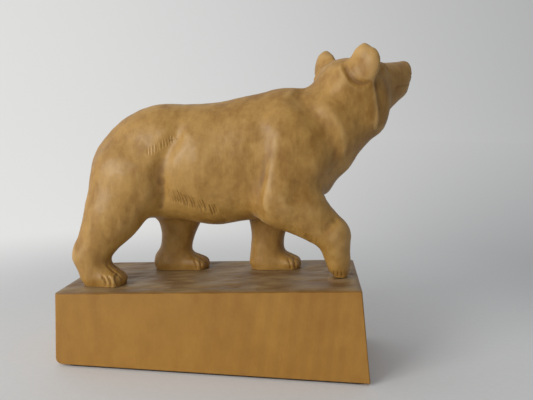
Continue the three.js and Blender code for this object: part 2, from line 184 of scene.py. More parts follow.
class Skin:  # the carving tools, which work on a finished skin, in mm
    def __init__(self, piece):
        self.piece = piece
        self.places = placesOf(piece)
        self.normals = normalsOf(piece)
        self.cut = np.zeros(len(self.places))
        ends = np.empty(len(piece.data.edges) * 2, int)
        piece.data.edges.foreach_get("vertices", ends)
        self.starts, self.stops = ends.reshape(-1, 2).T
        self.degree = np.bincount(ends, minlength=len(self.places))

    def averaged(self, values):  # each corner's neighbours, averaged
        if values.ndim == 2:
            return np.stack([self.averaged(column) for column in values.T], 1)
        total = np.bincount(self.starts, values[self.stops], len(values))
        total += np.bincount(self.stops, values[self.starts], len(values))
        return total / self.degree

    def sand(self, rounds, share):  # smooths without shrinking
        for k in range(rounds):
            for pull in (0.6, -0.62):
                self.places += (self.averaged(self.places) - self.places) * np.reshape(pull * share, (-1, 1))

    def soften(self, rounds, share):
        for k in range(rounds):
            self.places += (self.averaged(self.places) - self.places) * share[:, None]

    def refresh(self):
        setPlaces(self.piece, self.places)
        self.normals = normalsOf(self.piece)

    def push(self, amount, chosen=slice(None), marks=True):
        self.places[chosen] += self.normals[chosen] * amount[:, None]
        if marks:
            self.cut[chosen] += np.maximum(-amount, 0)

    def near(self, view, line, reach, facing=0.15, within=None):
        flat = view.flat(self.places)
        line = np.array(line, float)
        low, high = line.min(0) - reach, line.max(0) + reach
        chosen = ((flat > low) & (flat < high)).all(1) & (self.normals @ view.facing > facing)
        if within is not None:
            chosen &= within(self.places)
        chosen = np.flatnonzero(chosen)
        turned = eased(facing, facing + 0.3, self.normals[chosen] @ view.facing)  # fades as the skin turns away
        return chosen, flat[chosen], line, turned

    def alongLine(self, flat, line):
        best = np.full(len(flat), 1e9)
        side = np.zeros(len(flat))
        share = np.zeros(len(flat))
        for i in range(len(line) - 1):
            run = line[i + 1] - line[i]
            length = np.hypot(*run)
            t = np.clip((flat - line[i]) @ run / length ** 2, 0, 1)
            away = flat - line[i] - t[:, None] * run
            distance = np.hypot(away[:, 0], away[:, 1])
            closer = distance < best
            best[closer] = distance[closer]
            side[closer] = np.sign(run[0] * away[closer, 1] - run[1] * away[closer, 0])
            share[closer] = (i + t[closer]) / (len(line) - 1)
        return best, side, share

    def valley(self, view, line, width, depth, ends=0.2, **limits):  # soft, or a ridge if depth < 0
        chosen, flat, line, turned = self.near(view, line, width * 2.5, **limits)
        distance, side, share = self.alongLine(flat, line)
        taper = eased(0, ends, share) * eased(0, ends, 1 - share)
        self.push(-depth * np.exp(-(distance / width) ** 2) * taper * turned, chosen, marks=False)

    def stroke(self, view, line, width, depth, **limits):  # one pull of a V gouge
        chosen, flat, line, turned = self.near(view, line, width * 1.5, **limits)
        distance, side, share = self.alongLine(flat, line)
        taper = np.sqrt(np.clip(4 * share * (1 - share), 0, 1))
        profile = np.clip(1 - distance / (width * (0.35 + 0.65 * taper)), 0, 1)
        self.push(-depth * profile * taper * turned, chosen)

    def step(self, view, line, height, fall, soft, ends=0.25, **limits):  # proud on the line's left
        chosen, flat, line, turned = self.near(view, line, fall * 2, **limits)
        distance, side, share = self.alongLine(flat, line)
        taper = eased(0, ends, share) * eased(0, ends, 1 - share)
        shape = np.tanh(distance * side / soft) * np.exp(-(distance / fall) ** 2)
        self.push(shape * height / 2 * taper * turned, chosen, marks=False)

    def blob(self, view, spot, radius, height, **limits):  # a swelling, or a dent if height < 0
        chosen, flat, line, turned = self.near(view, [spot], radius * 2.6, **limits)
        distance = np.hypot(*(flat - line[0]).T)
        self.push(height * np.exp(-(distance / radius) ** 2) * turned, chosen, marks=False)

    def ring(self, view, spot, radius, width, depth, tall, **limits):
        chosen, flat, line, turned = self.near(view, [spot], radius * 2 + width * 3, **limits)
        away = (flat - line[0]) / (1, tall)
        distance = np.abs(np.hypot(away[:, 0], away[:, 1]) - radius)
        self.push(-depth * np.clip(1 - distance / width, 0, 1) * turned, chosen)

    def fur(self, view, line, spacing, length, width, depth, lean, seed, rows=1, shrink=0, **limits):
        dice = random.Random(seed)
        lengths = np.hypot(*np.diff(line, axis=0).T)
        stations = np.concatenate([[0], np.cumsum(lengths)])
        end = stations[-1]
        for row in range(rows):
            for k in range(int(end / spacing) + 1):
                where = min(max((k + 0.5 * (row % 2) + dice.uniform(-0.16, 0.16)) * spacing, 0), end)
                middle = np.array([np.interp(where, stations, line[:, axis]) for axis in (0, 1)])
                angle = math.radians(lean + dice.uniform(-2.5, 2.5))
                way = np.array([math.cos(angle), math.sin(angle)])
                middle += way * row * length * 0.7 + way * dice.uniform(-0.1, 0.1) * length
                half = way * length * dice.uniform(0.42, 0.58) * (1 - shrink * where / end)
                bow = np.array([way[1], -way[0]]) * dice.uniform(-0.02, 0.07) * length
                pull = softLine([middle - half, middle + bow, middle + half], 6)
                self.stroke(view, pull, width, depth * dice.uniform(0.65, 1.1), **limits)

    def facets(self, size, depth, seed, calm):  # the shallow scoops that a gouge leaves
        order = list(range(len(self.places)))
        random.Random(seed).shuffle(order)
        centres = {}
        for i in order[:12000]:  # one centre to a cell
            cell = tuple(np.floor(self.places[i] / (size * 0.62)).astype(int))
            centres.setdefault(cell, Vector(self.places[i]))
        tree = KDTree(len(centres))
        for number, centre in enumerate(centres.values()):
            tree.insert(centre, number)
        tree.balance()
        distance = np.array([tree.find(Vector(p))[2] for p in self.places])
        scoop = depth * (np.clip(distance / size, 0, 1) ** 2 - 0.55)
        self.push(scoop * calm(self.places), marks=False)
        self.refresh()


def tone(red, green, blue):  # a screen colour as a linear one
    return tuple((c / 255 / 12.92 if c <= 10 else ((c / 255 + 0.055) / 1.055) ** 2.4)
                 for c in (red, green, blue)) + (1,)


class Socket:
    def __init__(self, finish, socket):
        self.finish = finish
        self.socket = socket

    def other(self, name):  # another output of the same node
        return Socket(self.finish, self.socket.node.outputs[name])

    def sum(self, operation, first, second):
        return self.finish.add("ShaderNodeMath", {"operation": operation}, {0: first, 1: second})

    def __add__(self, value): return self.sum("ADD", self, value)
    def __radd__(self, value): return self.sum("ADD", value, self)
    def __sub__(self, value): return self.sum("SUBTRACT", self, value)
    def __rsub__(self, value): return self.sum("SUBTRACT", value, self)
    def __mul__(self, value): return self.sum("MULTIPLY", self, value)
    def __rmul__(self, value): return self.sum("MULTIPLY", value, self)
    def __truediv__(self, value): return self.sum("DIVIDE", self, value)
    def __rtruediv__(self, value): return self.sum("DIVIDE", value, self)
    def __pow__(self, value): return self.sum("POWER", self, value)
    def __rpow__(self, value): return self.sum("POWER", value, self)


class Nodes:
    def __init__(self, tree):
        self.tree = tree

    def add(self, kind, settings, sockets, output=0):
        node = self.tree.nodes.new(kind)
        for name, value in settings.items():
            setattr(node, name, value)
        for name, value in sockets.items():
            self.feed(node.inputs[name], value)
        return Socket(self, node.outputs[output])

    def feed(self, socket, value):
        if isinstance(value, Socket):
            self.tree.links.new(value.socket, socket)
        else:
            socket.default_value = value

    def noise(self, point, scale, detail=2.0, roughness=0.5):
        return self.add("ShaderNodeTexNoise", {}, {"Vector": point, "Scale": scale, "Detail": detail,
                                                  "Roughness": roughness})

    def stretched(self, scale, move=(0, 0, 0)):
        return self.add("ShaderNodeMapping", {}, {"Vector": self.point, "Location": move, "Scale": scale})

    def eased(self, value, low, high, bottom=0.0, top=1.0):
        return self.add("ShaderNodeMapRange", {"interpolation_type": "SMOOTHSTEP"},
                        {"Value": value, "From Min": low, "From Max": high, "To Min": bottom, "To Max": top})

    def mix(self, first, second, share):
        return self.add("ShaderNodeMix", {"data_type": "RGBA"}, {0: share, 6: first, 7: second}, 2)

    def dot(self, point, direction):
        return self.add("ShaderNodeVectorMath", {"operation": "DOT_PRODUCT"},
                        {0: point, 1: direction}, "Value")

    def wave(self, turns):
        return self.add("ShaderNodeMath", {"operation": "SINE"}, {0: turns})

    def attribute(self, name):
        return self.add("ShaderNodeAttribute", {"attribute_name": name}, {}, "Fac")

    def bump(self, height, strength, distance):
        return self.add("ShaderNodeBump", {}, {"Height": height, "Strength": strength, "Distance": distance})


class Finish(Nodes):  # one material
    def __init__(self, name):
        self.material = bpy.data.materials.new(name)
        self.material.use_nodes = True
        super().__init__(self.material.node_tree)
        self.shader = self.tree.nodes["Principled BSDF"]
        self.point = self.add("ShaderNodeTexCoord", {}, {}, "Object")

    def set(self, **values):  # the shader's own sockets, named in camelCase
        for name, value in values.items():
            words = "".join(" " + c if c.isupper() else c for c in name)
            words = words[0].upper() + words[1:]
            self.feed(self.shader.inputs[words], value)


print("camera and light")

cameraPlan = {"place": (0.09375, -0.5583, 0.2401), "yaw": 4.84, "tilt": 82.6, "roll": 1.5, "lens": 36.47}
bpy.ops.object.camera_add()
camera = bpy.context.object
camera.matrix_world = (
    Matrix.Translation(cameraPlan["place"])
    @ Matrix.Rotation(math.radians(cameraPlan["yaw"]), 4, "Z")
    @ Matrix.Rotation(math.radians(cameraPlan["tilt"]), 4, "X")
    @ Matrix.Rotation(math.radians(cameraPlan["roll"]), 4, "Z")
)
camera.data.lens = cameraPlan["lens"]
camera.data.sensor_width = 36
camera.data.clip_start = 0.01
camera.data.clip_end = 60
bpy.context.scene.camera = camera
bpy.context.scene.view_settings.view_transform = "Standard"

roomPlan = {  # lengths in metres
    "windowWay": (-0.9, 0.12, -0.35), "dim": (0.26, 0.265, 0.275, 1), "bright": (0.77, 0.77, 0.76, 1),
    "floor": 40, "floorDrop": 0.0002, "fadeFrom": 0.3, "fadeTo": 0.8,
    "table": tone(226, 227, 228), "tableGrain": tone(232, 233, 234),
    "lamp": (-1.5, -1.6, 0.9), "lampAim": (0.0, 0.0, 0.15), "lampWidth": 1.1, "watts": 29,
    "lampColour": (1.0, 0.985, 0.95),
}
black = (0, 0, 0, 1)


def roomTone(nodes, way):  # brighter on the window's side of the room
    towardsWindow = nodes.dot(way, roomPlan["windowWay"])
    return nodes.mix(roomPlan["dim"], roomPlan["bright"], nodes.eased(towardsWindow, -1.0, 0.8))


world = bpy.data.worlds.new("room")
bpy.context.scene.world = world
world.use_nodes = True
roomNodes = Nodes(world.node_tree)
lookingWay = roomNodes.add("ShaderNodeTexCoord", {}, {}, "Generated")
roomNodes.feed(world.node_tree.nodes["Background"].inputs["Color"], roomTone(roomNodes, lookingWay))

bpy.ops.object.light_add(type="AREA", location=roomPlan["lamp"])
lamp = bpy.context.object
lamp.name = "window"
lamp.data.size = roomPlan["lampWidth"]
lamp.data.energy = roomPlan["watts"]
lamp.data.color = roomPlan["lampColour"]
lampWay = Vector(roomPlan["lampAim"]) - Vector(roomPlan["lamp"])
lamp.rotation_euler = lampWay.to_track_quat("-Z", "Y").to_euler()

bpy.ops.mesh.primitive_plane_add(size=roomPlan["floor"], location=(0, 0, -roomPlan["floorDrop"]))
floor = newName("floor")
floorFinish = Finish("paleTable")
floorGrain = floorFinish.noise(floorFinish.point, 160, 3)
floorWay = floorFinish.add("ShaderNodeVectorMath", {"operation": "NORMALIZE"}, {0: floorFinish.point})
floorAway = floorFinish.add("ShaderNodeVectorMath", {"operation": "LENGTH"}, {0: floorFinish.point}, "Value")
glowShare = floorFinish.eased(floorAway, roomPlan["fadeFrom"], roomPlan["fadeTo"])  # into a painted glow in the room's own tone, brighter towards the window
tableTone = floorFinish.mix(roomPlan["table"], roomPlan["tableGrain"], floorGrain)
# painted glow: far off, the floor's colour goes to black and it glows with the room's light
floorFinish.set(baseColor=floorFinish.mix(tableTone, black, glowShare), roughness=0.7, emissionStrength=1.0,
                emissionColor=floorFinish.mix(black, roomTone(floorFinish, floorWay), glowShare))
floorFinish.shader.inputs["Specular IOR Level"].default_value = 0
floor.data.materials.append(floorFinish.material)


# growth rings round a pith that leans back, so that the front shows bands and one tall arch
def wood(name, plan):
    finish = Finish(name)
    split = finish.add("ShaderNodeSeparateXYZ", {}, {0: finish.point}, "X")
    across = split - plan["pithX"] * mm
    behind = split.other("Y") + split.other("Z") * plan["pithLean"] - plan["pithY"] * mm
    wander = finish.noise(finish.stretched((7, 7, 1.6)), 1.0, 2.0) - 0.5
    ring = (across * across + behind * behind) ** 0.5 + wander * (plan["wander"] * mm)
    turns = ring / (plan["ring"] * mm)
    band = finish.wave(turns * 6.2832) * 0.5 + 0.5
    fine = finish.wave(turns * 23.0 + wander * 9) * 0.5 + 0.5
    strength = finish.noise(finish.stretched((16, 16, 3), (3, 1, 7)), 1.0, 1.0)
    rings = band * strength * plan["band"] + fine * plan["fineBand"]
    fibre = finish.noise(finish.stretched((900, 900, 26)), 1.0, 3.0, 0.6)
    cloud = finish.noise(finish.stretched((11, 11, 6), (5, 2, 1)), 1.0, 3.0, 0.55)
    mottle = finish.noise(finish.stretched((75, 75, 45), (2, 9, 4)), 1.0, 4.0, 0.65)
    blotches = cloud * 0.55 + mottle * plan["mottle"] + 0.5 - 0.5 * plan["mottle"] - 0.275
    colour = finish.mix(plan["light"], plan["dark"], finish.eased(blotches, 0.3, 0.72))
    colour = finish.mix(colour, plan["ringColour"], rings)
    colour = finish.mix(colour, plan["fibreColour"], finish.eased(fibre, 0.42, 0.75) * plan["fibre"])
    return finish, colour, fibre, cloud


print("plinth")

plinthPlan = {  # lengths in mm
    "raise": 3,  # the rough top before the gouges, above the finished one
    "cell": 1.6, "sheetLength": 330, "sheetDepth": 140,
    "seed": 11, "troughs": 150, "troughX": (-158, 152), "troughY": (-66, 66), "troughAngle": (14, 9),
    "troughLength": (26, 46), "troughWidth": (7, 11), "troughDepth": (0.8, 1.5),
    "seats": [(-115, -33, 23), (-50, 32, 34), (57, 29, 30)],  # x, y and reach of the soles that stand
    "waves": [(1.0, 4.6, 0.4), (0.8, 8.9, 2.1), (0.5, 2.9, 1.0)], "headWave": 1.5,
    "frontDip": 2.4, "frontWidth": 5.5, "arrisWidth": 4.5, "headFall": 1.9, "tailFall": 1.0, "backFall": 1.0,
    "padRadius": 9, "padFoot": 3.2, "arcRadius": 15, "arcWidth": 3.2, "arcDepth": 1.7,
    "pithX": -52, "pithY": 77, "pithLean": 0.1, "wander": 9, "ring": 9, "band": 0.27, "fineBand": 0.03,
    "mottle": 0.4, "light": tone(180, 132, 53), "dark": tone(158, 108, 35), "ringColour": tone(132, 86, 26),
    "fibreColour": tone(120, 78, 26), "fibre": 0.05,
    # the top's two greys paint a reflection of the pale room, mottled with dust; the cut-down parts get a painted
    # shade
    "top": tone(154, 130, 92), "dust": tone(118, 92, 62), "chamfer": tone(122, 84, 36), "roughness": 0.45,
}


def plinthWood():
    finish, colour, fibre, cloud = wood("waxedBlock", plinthPlan)
    # the top is painted greyer than the wood below it: a painted reflection of the pale room at a grazing angle,
    # mottled darker with dust
    above = finish.dot(finish.point, (-slope, 0, 1)) - topHeight(0) * mm
    upward = finish.eased(above, -2.1 * mm, -1.3 * mm)
    dust = finish.noise(finish.stretched((30, 60, 30)), 1.0, 3.0)
    topSheenAndDust = finish.mix(plinthPlan["top"], plinthPlan["dust"], finish.eased(dust, 0.3, 0.75))
    topSheenAndDust = finish.mix(topSheenAndDust, plinthPlan["fibreColour"], finish.eased(fibre, 0.45, 0.8) * 0.25)
    colour = finish.mix(colour, topSheenAndDust, upward * 0.92)
    recess = finish.attribute("recess")
    # painted shade: darker brown where the top is cut down
    colour = finish.mix(colour, plinthPlan["chamfer"], finish.eased(recess, 0.3, 2.0, 0, 0.6))
    rough = finish.eased(cloud, 0.2, 0.9, plinthPlan["roughness"] - 0.05, plinthPlan["roughness"] + 0.07)
    height = fibre * 0.6 + finish.noise(finish.point, 240, 2) * 0.4
    finish.set(baseColor=colour, roughness=rough + upward * 0.06, coatWeight=0.06, coatRoughness=0.35,
               normal=finish.bump(height, 0.25, 0.25 * mm))
    return finish.material


def gougedTop(x, y):  # how far the top is cut down, in mm
    dice = random.Random(plinthPlan["seed"])
    depth = np.zeros(len(x))
    for k in range(plinthPlan["troughs"]):
        cx, cy = dice.uniform(*plinthPlan["troughX"]), dice.uniform(*plinthPlan["troughY"])
        angle = math.radians(dice.gauss(*plinthPlan["troughAngle"]))
        length = dice.uniform(*plinthPlan["troughLength"]) / 2
        width = dice.uniform(*plinthPlan["troughWidth"]) / 2
        deep = dice.uniform(*plinthPlan["troughDepth"])
        along = ((x - cx) * math.cos(angle) + (y - cy) * math.sin(angle)) / length
        beside = ((y - cy) * math.cos(angle) - (x - cx) * math.sin(angle)) / width
        depth = np.maximum(depth, deep * np.clip(1 - along ** 2 - beside ** 2, 0, 1))
    for seatX, seatY, reach in plinthPlan["seats"]:  # kept flat
        depth *= eased(0.9, 1.25, np.hypot((x - seatX) / reach, (y - seatY) / 22))
    wave = sum(a * np.sin(x / b + c) for a, b, c in plinthPlan["waves"])
    wave += plinthPlan["headWave"] * eased(60, 130, x)
    half = block["depth"] / 2
    front = np.clip((y + half) / (plinthPlan["frontWidth"] + wave), 0, 1)
    depth = np.maximum(depth, (plinthPlan["frontDip"] + 0.08 * wave) * (1 - front) ** 1.3)
    # the other arrises are eased too
    for end, away in (("headFall", block["headX"] - x), ("tailFall", x - block["tailX"]), ("backFall", half - y)):
        fall = (1 - np.clip((away + 0.03 * wave) / plinthPlan["arrisWidth"], 0, 1)) ** 1.3
        depth = np.maximum(depth, plinthPlan[end] * fall)
    pad = fromPad(x, y)  # a scooped arc round the front of the pad
    arc = np.exp(-((pad - plinthPlan["arcRadius"]) / plinthPlan["arcWidth"]) ** 2) * plinthPlan["arcDepth"]
    arc *= eased(0.2, 0.9, (-(y - block["padY"]) - 0.25 * (x - block["padX"])) / np.maximum(pad, 1))
    return np.maximum(depth, arc)


def padLift(x, y):
    edge = plinthPlan["padRadius"]
    return block["padHeight"] * (1 - eased(edge, edge + plinthPlan["padFoot"], fromPad(x, y)))


plinth = copyOfNode("plinth", "plinth_block")
spots = placesOf(plinth)
spots[spots[:, 2] > topHeight(spots[:, 0]) - 1.4, 2] += plinthPlan["raise"]
setPlaces(plinth, spots)

cells = [int(plinthPlan[way] / plinthPlan["cell"]) for way in ("sheetLength", "sheetDepth")]
bpy.ops.mesh.primitive_grid_add(x_subdivisions=cells[0], y_subdivisions=cells[1], size=1)
gouges = newName("gouges")
bpy.ops.transform.resize(value=(plinthPlan["sheetLength"] * mm, plinthPlan["sheetDepth"] * mm, 1))
applyPlace(gouges)
spots = placesOf(gouges)
x, y = spots[:, 0], spots[:, 1]
spots[:, 2] = topHeight(x) - 0.05 - gougedTop(x, y) + padLift(x, y)
setPlaces(gouges, spots)
editMode(gouges)
bpy.ops.mesh.select_all(action="SELECT")
bpy.ops.mesh.extrude_region_move(TRANSFORM_OT_translate={"value": (0, 0, 40 * mm)})
bpy.ops.mesh.select_all(action="SELECT")
bpy.ops.mesh.normals_make_consistent(inside=False)
objectMode()
cutAway(plinth, gouges)

x, y, z = placesOf(plinth).T
# how far each corner lies below the top; the gouge troughs and the dipped front edge are painted darker by it, as
# painted shade
recess = np.clip(topHeight(x) + padLift(x, y) - z, 0, 4)
recess[z < topHeight(x) - 4.5] = 0
recess[np.abs(y) > 62.9] *= 0.3
addMark(plinth, "recess", recess)
choose(plinth)
bpy.ops.object.shade_smooth_by_angle(angle=math.radians(28))
facing = ofFaces(plinth, "normal")
selectOnly(plinth, "FACE", (np.abs(facing).max(1) > 0.98) & (facing[:, 2] < 0.5))  # the sawn faces stay flat
bpy.ops.mesh.faces_shade_flat()
objectMode()
plinth.data.materials.append(plinthWood())
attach(plinth, "root")
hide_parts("plinth")


print("bear")

bearPlan = {  # lengths in mm, lines as seen from the side that they are cut on
    "soleDrop": 6, "voxel": 1.6, "facesKept": 0.56,
    "holes": [("screw_near_hind", 2.8), ("screw_far_fore", 2.8), ("dowel_far_hind", 4.3)],  # with radius
    "head": (128, 12, topHeight(0) + 198), "headTurn": 34, "earSpread": 33, "earBack": 8, "earUp": 24,
    "flankAreas": [(-25, 32, 167, 17), (-62, 26, 226, 14)],  # x, reach, z, reach of the finer faces
    "furAreas": [(-24, 28, 166, 14), (-56, 17, 224, 13)],  # and of the finest, on the near side
    "thigh": [(-36, 246), (-41, 232), (-49, 217), (-55, 196), (-54, 173), (-60, 153)],
    "arm": [(38, 254), (44, 247), (52, 236), (53, 224), (50.5, 202), (47.5, 184), (47, 168), (54, 155)],
    "neck": [(70, 281), (76, 275), (93, 258), (105, 241), (115, 223), (119, 203), (118, 190)],
    "farThigh": [(-10, 242), (-15, 228), (-23, 210), (-28, 190), (-27, 172), (-33, 154)],
    "farArm": [(22, 252), (28, 243), (35, 228), (34, 208), (31, 190), (30, 168)],
    "farNeck": [(60, 276), (72, 262), (84, 247), (95, 230), (101, 212), (102, 196)],
    "earBase": [(120, 309), (122, 300), (127, 292), (133, 287.5), (142, 286), (151, 289)],
    "ruff": [(9, -44), (8, -30), (4.5, -11), (0.5, 3), (-3, 15)],  # this and the next two on the head's own axes
    "mouth": [(74, 13), (68, 9), (58, 6.5), (48, 5), (40, 1.5)],
    "nosePad": [(64, 31), (65, 25), (69, 19.5), (76, 18)],
    "facets": [(15, 0.75, 5), (8, 0.34, 8)],  # size, depth, seed
    "paws": [(-115, -33, 37, 34), (-50, 32, 62, 33), (57, 29, 54, 33)],  # x, y, length, width
    "pithX": 20, "pithY": 150, "pithLean": 0.12, "wander": 7, "ring": 9, "band": 0.16, "fineBand": 0.04,
    "mottle": 0.8, "light": tone(184, 142, 73), "dark": tone(146, 103, 38), "ringColour": tone(146, 102, 44),
    "fibreColour": tone(134, 92, 38), "fibre": 0.14, "rim": tone(178, 136, 78), "speck": tone(92, 60, 30),
    "specks": [((61, -46, 246), 0.9), ((51, -46, 209), 0.9), ((34, -46, 201), 0.8), ((70, -44, 187), 0.9)],
    # painted shade for the hollows and cuts, painted highlight for the convex edges
    "recess": tone(112, 74, 30), "edge": tone(200, 162, 102), "roughness": 0.5,
}


def bearWood():
    finish, colour, fibre, cloud = wood("waxedLimewood", bearPlan)
    recess = finish.attribute("recess")
    edge = finish.attribute("edge")
    # painted shade: the hollows and the knife cuts darker
    colour = finish.mix(colour, bearPlan["recess"], finish.eased(recess, 0.1, 0.9, 0, 0.7))
    # painted highlight: the convex edges paler
    colour = finish.mix(colour, bearPlan["edge"], finish.eased(edge, 0.1, 0.9, 0, 0.5))
    # a painted highlight: a pale rim where the soles meet the plinth
    above = finish.dot(finish.point, (-slope, 0, 1)) - topHeight(0) * mm
    colour = finish.mix(colour, bearPlan["rim"], finish.eased(above, 0.4 * mm, 1.5 * mm, 0.6, 0))
    for spot, radius in bearPlan["specks"]:  # small dark holes in the wood
        away = finish.add("ShaderNodeVectorMath", {"operation": "DISTANCE"},
                          {0: finish.point, 1: tuple(c * mm for c in spot)}, "Value")
        dark = finish.eased(away, radius * 0.5 * mm, radius * 1.2 * mm, 0.7, 0)
        colour = finish.mix(colour, bearPlan["speck"], dark)
    rough = finish.eased(cloud, 0.2, 0.9, bearPlan["roughness"] - 0.06, bearPlan["roughness"] + 0.08)
    cuts = finish.add("ShaderNodeTexVoronoi", {"feature": "SMOOTH_F1"},
                      {"Vector": finish.stretched((150, 150, 95), (1, 4, 2)), "Scale": 1.0, "Smoothness": 0.25})
    height = fibre * 0.3 + finish.noise(finish.point, 260, 2) * 0.5 + cuts * 1.1
    finish.set(baseColor=colour, roughness=rough + recess * 0.15, coatWeight=0.08, coatRoughness=0.35,
               normal=finish.bump(height, 0.4, 0.5 * mm))
    finish.shader.inputs["Specular IOR Level"].default_value = 0.45
    return finish.material


bear = copyOfNode("bear", "bear_carving")
spots = placesOf(bear)
inHole = np.zeros(len(spots), bool)
drills = []  # x, y, top, radius of each hole that a screw or the dowel goes up
for node, radius in bearPlan["holes"]:
    low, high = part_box(node)
    drills.append(((low.x + high.x) / 2 / mm, (low.y + high.y) / 2 / mm, high.z / mm + 0.3, radius))
for x, y, top, radius in drills:
    inHole |= (np.hypot(spots[:, 0] - x, spots[:, 1] - y) < radius + 0.15) & (spots[:, 2] < 125)
selectOnly(bear, "VERT", inHole)
bpy.ops.mesh.delete(type="VERT")
bpy.ops.mesh.select_all(action="SELECT")
bpy.ops.mesh.fill_holes(sides=0)
bpy.ops.mesh.quads_convert_to_tris()
bpy.ops.mesh.tris_convert_to_quads(face_threshold=math.radians(50), shape_threshold=math.radians(50))
objectMode()
x, y, z = placesOf(bear).T
padLevel = topHeight(block["padX"]) + block["padHeight"] + block["glueLine"]
onSole = z < topHeight(x) + block["glueLine"] + 0.12
onSole |= (fromPad(x, y) < 24) & (z < padLevel + 0.1)
spots = placesOf(bear)
spots[onSole, 2] -= bearPlan["soleDrop"]  # cut level again at the end
setPlaces(bear, spots)
applyModifier(bear, "SUBSURF", levels=2, render_levels=2)
applyModifier(bear, "REMESH", mode="VOXEL", voxel_size=bearPlan["voxel"] * mm, adaptivity=0)
applyModifier(bear, "SMOOTH", factor=0.5, iterations=4)

turn = math.radians(bearPlan["headTurn"])
ahead = np.array([math.cos(turn), math.sin(turn), 0])
right = np.array([math.sin(turn), -math.cos(turn), 0])
upward = np.array([0, 0, 1.0])
skull = np.array(bearPlan["head"])
sideOut = View((1, 0, 0), (0, 0, 1), (0, -1, 0))  # the bear's right
sideFar = View((1, 0, 0), (0, 0, 1), (0, 1, 0))
fromAbove = View((1, 0, 0), (0, 1, 0), (0, 0, 1))
faceOn = View(right, upward, ahead, skull)
cheekRight = View(ahead, upward, right, skull)
cheekLeft = View(ahead, upward, -right, skull)


def inHead(places):
    return ((places - skull) @ ahead > 4) & (places[:, 2] > skull[2] - 40)


def behindMuzzle(places):
    return inHead(places) & ((places - skull) @ ahead < 44)


def onNose(places):
    return (places - skull) @ ahead > 58


def offEars(places):
    return np.minimum(*(np.linalg.norm(places - earSpot(side), axis=1) for side in (1, -1))) > 25


def earSpot(side):
    return skull + ahead * -bearPlan["earBack"] + right * side * bearPlan["earSpread"] + upward * bearPlan["earUp"]


def inAreas(centre, areas):
    return sum((np.abs(centre[:, 0] - x) < reachX) & (np.abs(centre[:, 2] - z) < reachZ)
               for x, reachX, z, reachZ in areas) > 0


# finer faces where the small marks go
centre = ofFaces(bear, "center") / mm
local = centre - skull
fine = (local @ ahead > 8) & (centre[:, 2] > skull[2] - 32)
fine |= centre[:, 2] < topHeight(centre[:, 0]) + 16
fine |= inAreas(centre, bearPlan["flankAreas"]) & (np.abs(centre[:, 1]) > 20)
selectOnly(bear, "FACE", fine)
bpy.ops.mesh.subdivide(number_cuts=1, smoothness=0)
objectMode()
centre = ofFaces(bear, "center") / mm
local = centre - skull
finest = (local @ ahead > 62) & (centre[:, 2] > skull[2] + 8)
for side in (1, -1):
    fromEye = np.hypot(local @ right - side * 21.5, centre[:, 2] - skull[2] - 23.5)
    finest |= (fromEye < 8) & (local @ ahead > 18)
finest |= inAreas(centre, bearPlan["furAreas"]) & (centre[:, 1] < -20)
selectOnly(bear, "FACE", finest)
bpy.ops.mesh.subdivide(number_cuts=1, smoothness=0)
objectMode()
applyModifier(bear, "SMOOTH", factor=0.5, iterations=2)
print("bear corners", len(bear.data.vertices))

skin = Skin(bear)
fromEar = np.minimum(*(np.linalg.norm(skin.places - earSpot(side), axis=1) for side in (1, -1)))
ears = 1 - eased(20, 27, fromEar)
skin.sand(30, 0.35 + 0.65 * ears)
skin.sand(60, ears)
skin.soften(12, 0.5 * ears)
skin.soften(45, 0.5 * eased(36, 39.5, skin.places[:, 2] - skull[2]))  # takes the nib off their tips
skin.refresh()
for side in (1, -1):
    oneEar = skin.places[(ears > 0.3) & ((skin.places - skull) @ right * side > 12)]
    tip = oneEar[np.argmax(oneEar[:, 2])][:2]
    skin.blob(fromAbove, tip, 7, 3.3, facing=-0.1, within=lambda p: p[:, 2] > skull[2] + 26)
skin.refresh()

# broad forms: haunch, barrel, shoulder, neck and ruff
skin.blob(View((1, 0, 0), (0, 0, 1), (-0.7, 0, 0.7)), (-118, 240), 26, 4.5)  # rump
skin.blob(View((1, 0, 0), (0, 0, 1), (0, 0, 1)), (-54, 262), 36, 3.0)  # croup
skin.blob(View((1, 0, 0), (0, 0, 1), (-0.4, 0, 0.9)), (95, 290), 17, -3.5, within=offEars)  # nape
skin.refresh()
for view, thigh, arm, neck, shift in ((sideOut, "thigh", "arm", "neck", 0),
                                      (sideFar, "farThigh", "farArm", "farNeck", 22)):
    thigh, arm, neck = (softLine(bearPlan[line]) for line in (thigh, arm, neck))
    skin.blob(view, (-74 + shift, 200), 19, 2.4)
    skin.blob(view, (-20 + shift / 2, 206), 30, 2.0)
    skin.valley(view, thigh, 24, -2.0, facing=0.05)
    skin.refresh()
    skin.valley(view, thigh, 8, 4.2, facing=0.05)
    skin.step(view, arm if shift == 0 else arm[::-1], 4.0, 24, 5.0, ends=0.4)
    skin.valley(view, neck, 24, -0.9, facing=0.05)
    skin.refresh()
    skin.valley(view, neck, 10, 4.8, facing=0.05)
    skin.valley(view, thigh[12:], 3.2, 1.4, facing=0.05)
    skin.step(view, arm[9:] if shift == 0 else arm[:8:-1], 1.5, 9, 2.0)
    skin.refresh()
profile = View((1, 0, 0), (0, 0, 1), (0.85, 0, -0.35))  # the front of the throat and chest
skin.blob(profile, (157, 245), 13, 4.0)
skin.blob(profile, (140, 216), 15, -4.0)
skin.blob(profile, (108, 180), 9, 3.0)
skin.blob(fromAbove, (188, 52), 8, 1.8)  # nose
skin.refresh()
skin.blob(sideOut, (98, 204), 15, 3.2)  # the shoulder and the forearm face outwards up to their front edge
skin.blob(sideOut, (96, 168), 13, 2.4)
skin.blob(sideOut, (66, 166), 13, 1.6)  # elbow
skin.valley(sideOut, softLine([(84, 196), (79, 182), (76, 168)]), 7, 1.6)
skin.valley(sideOut, softLine([(104, 143), (112, 149), (121, 158)]), 4, 1.4)  # wrist
skin.refresh()

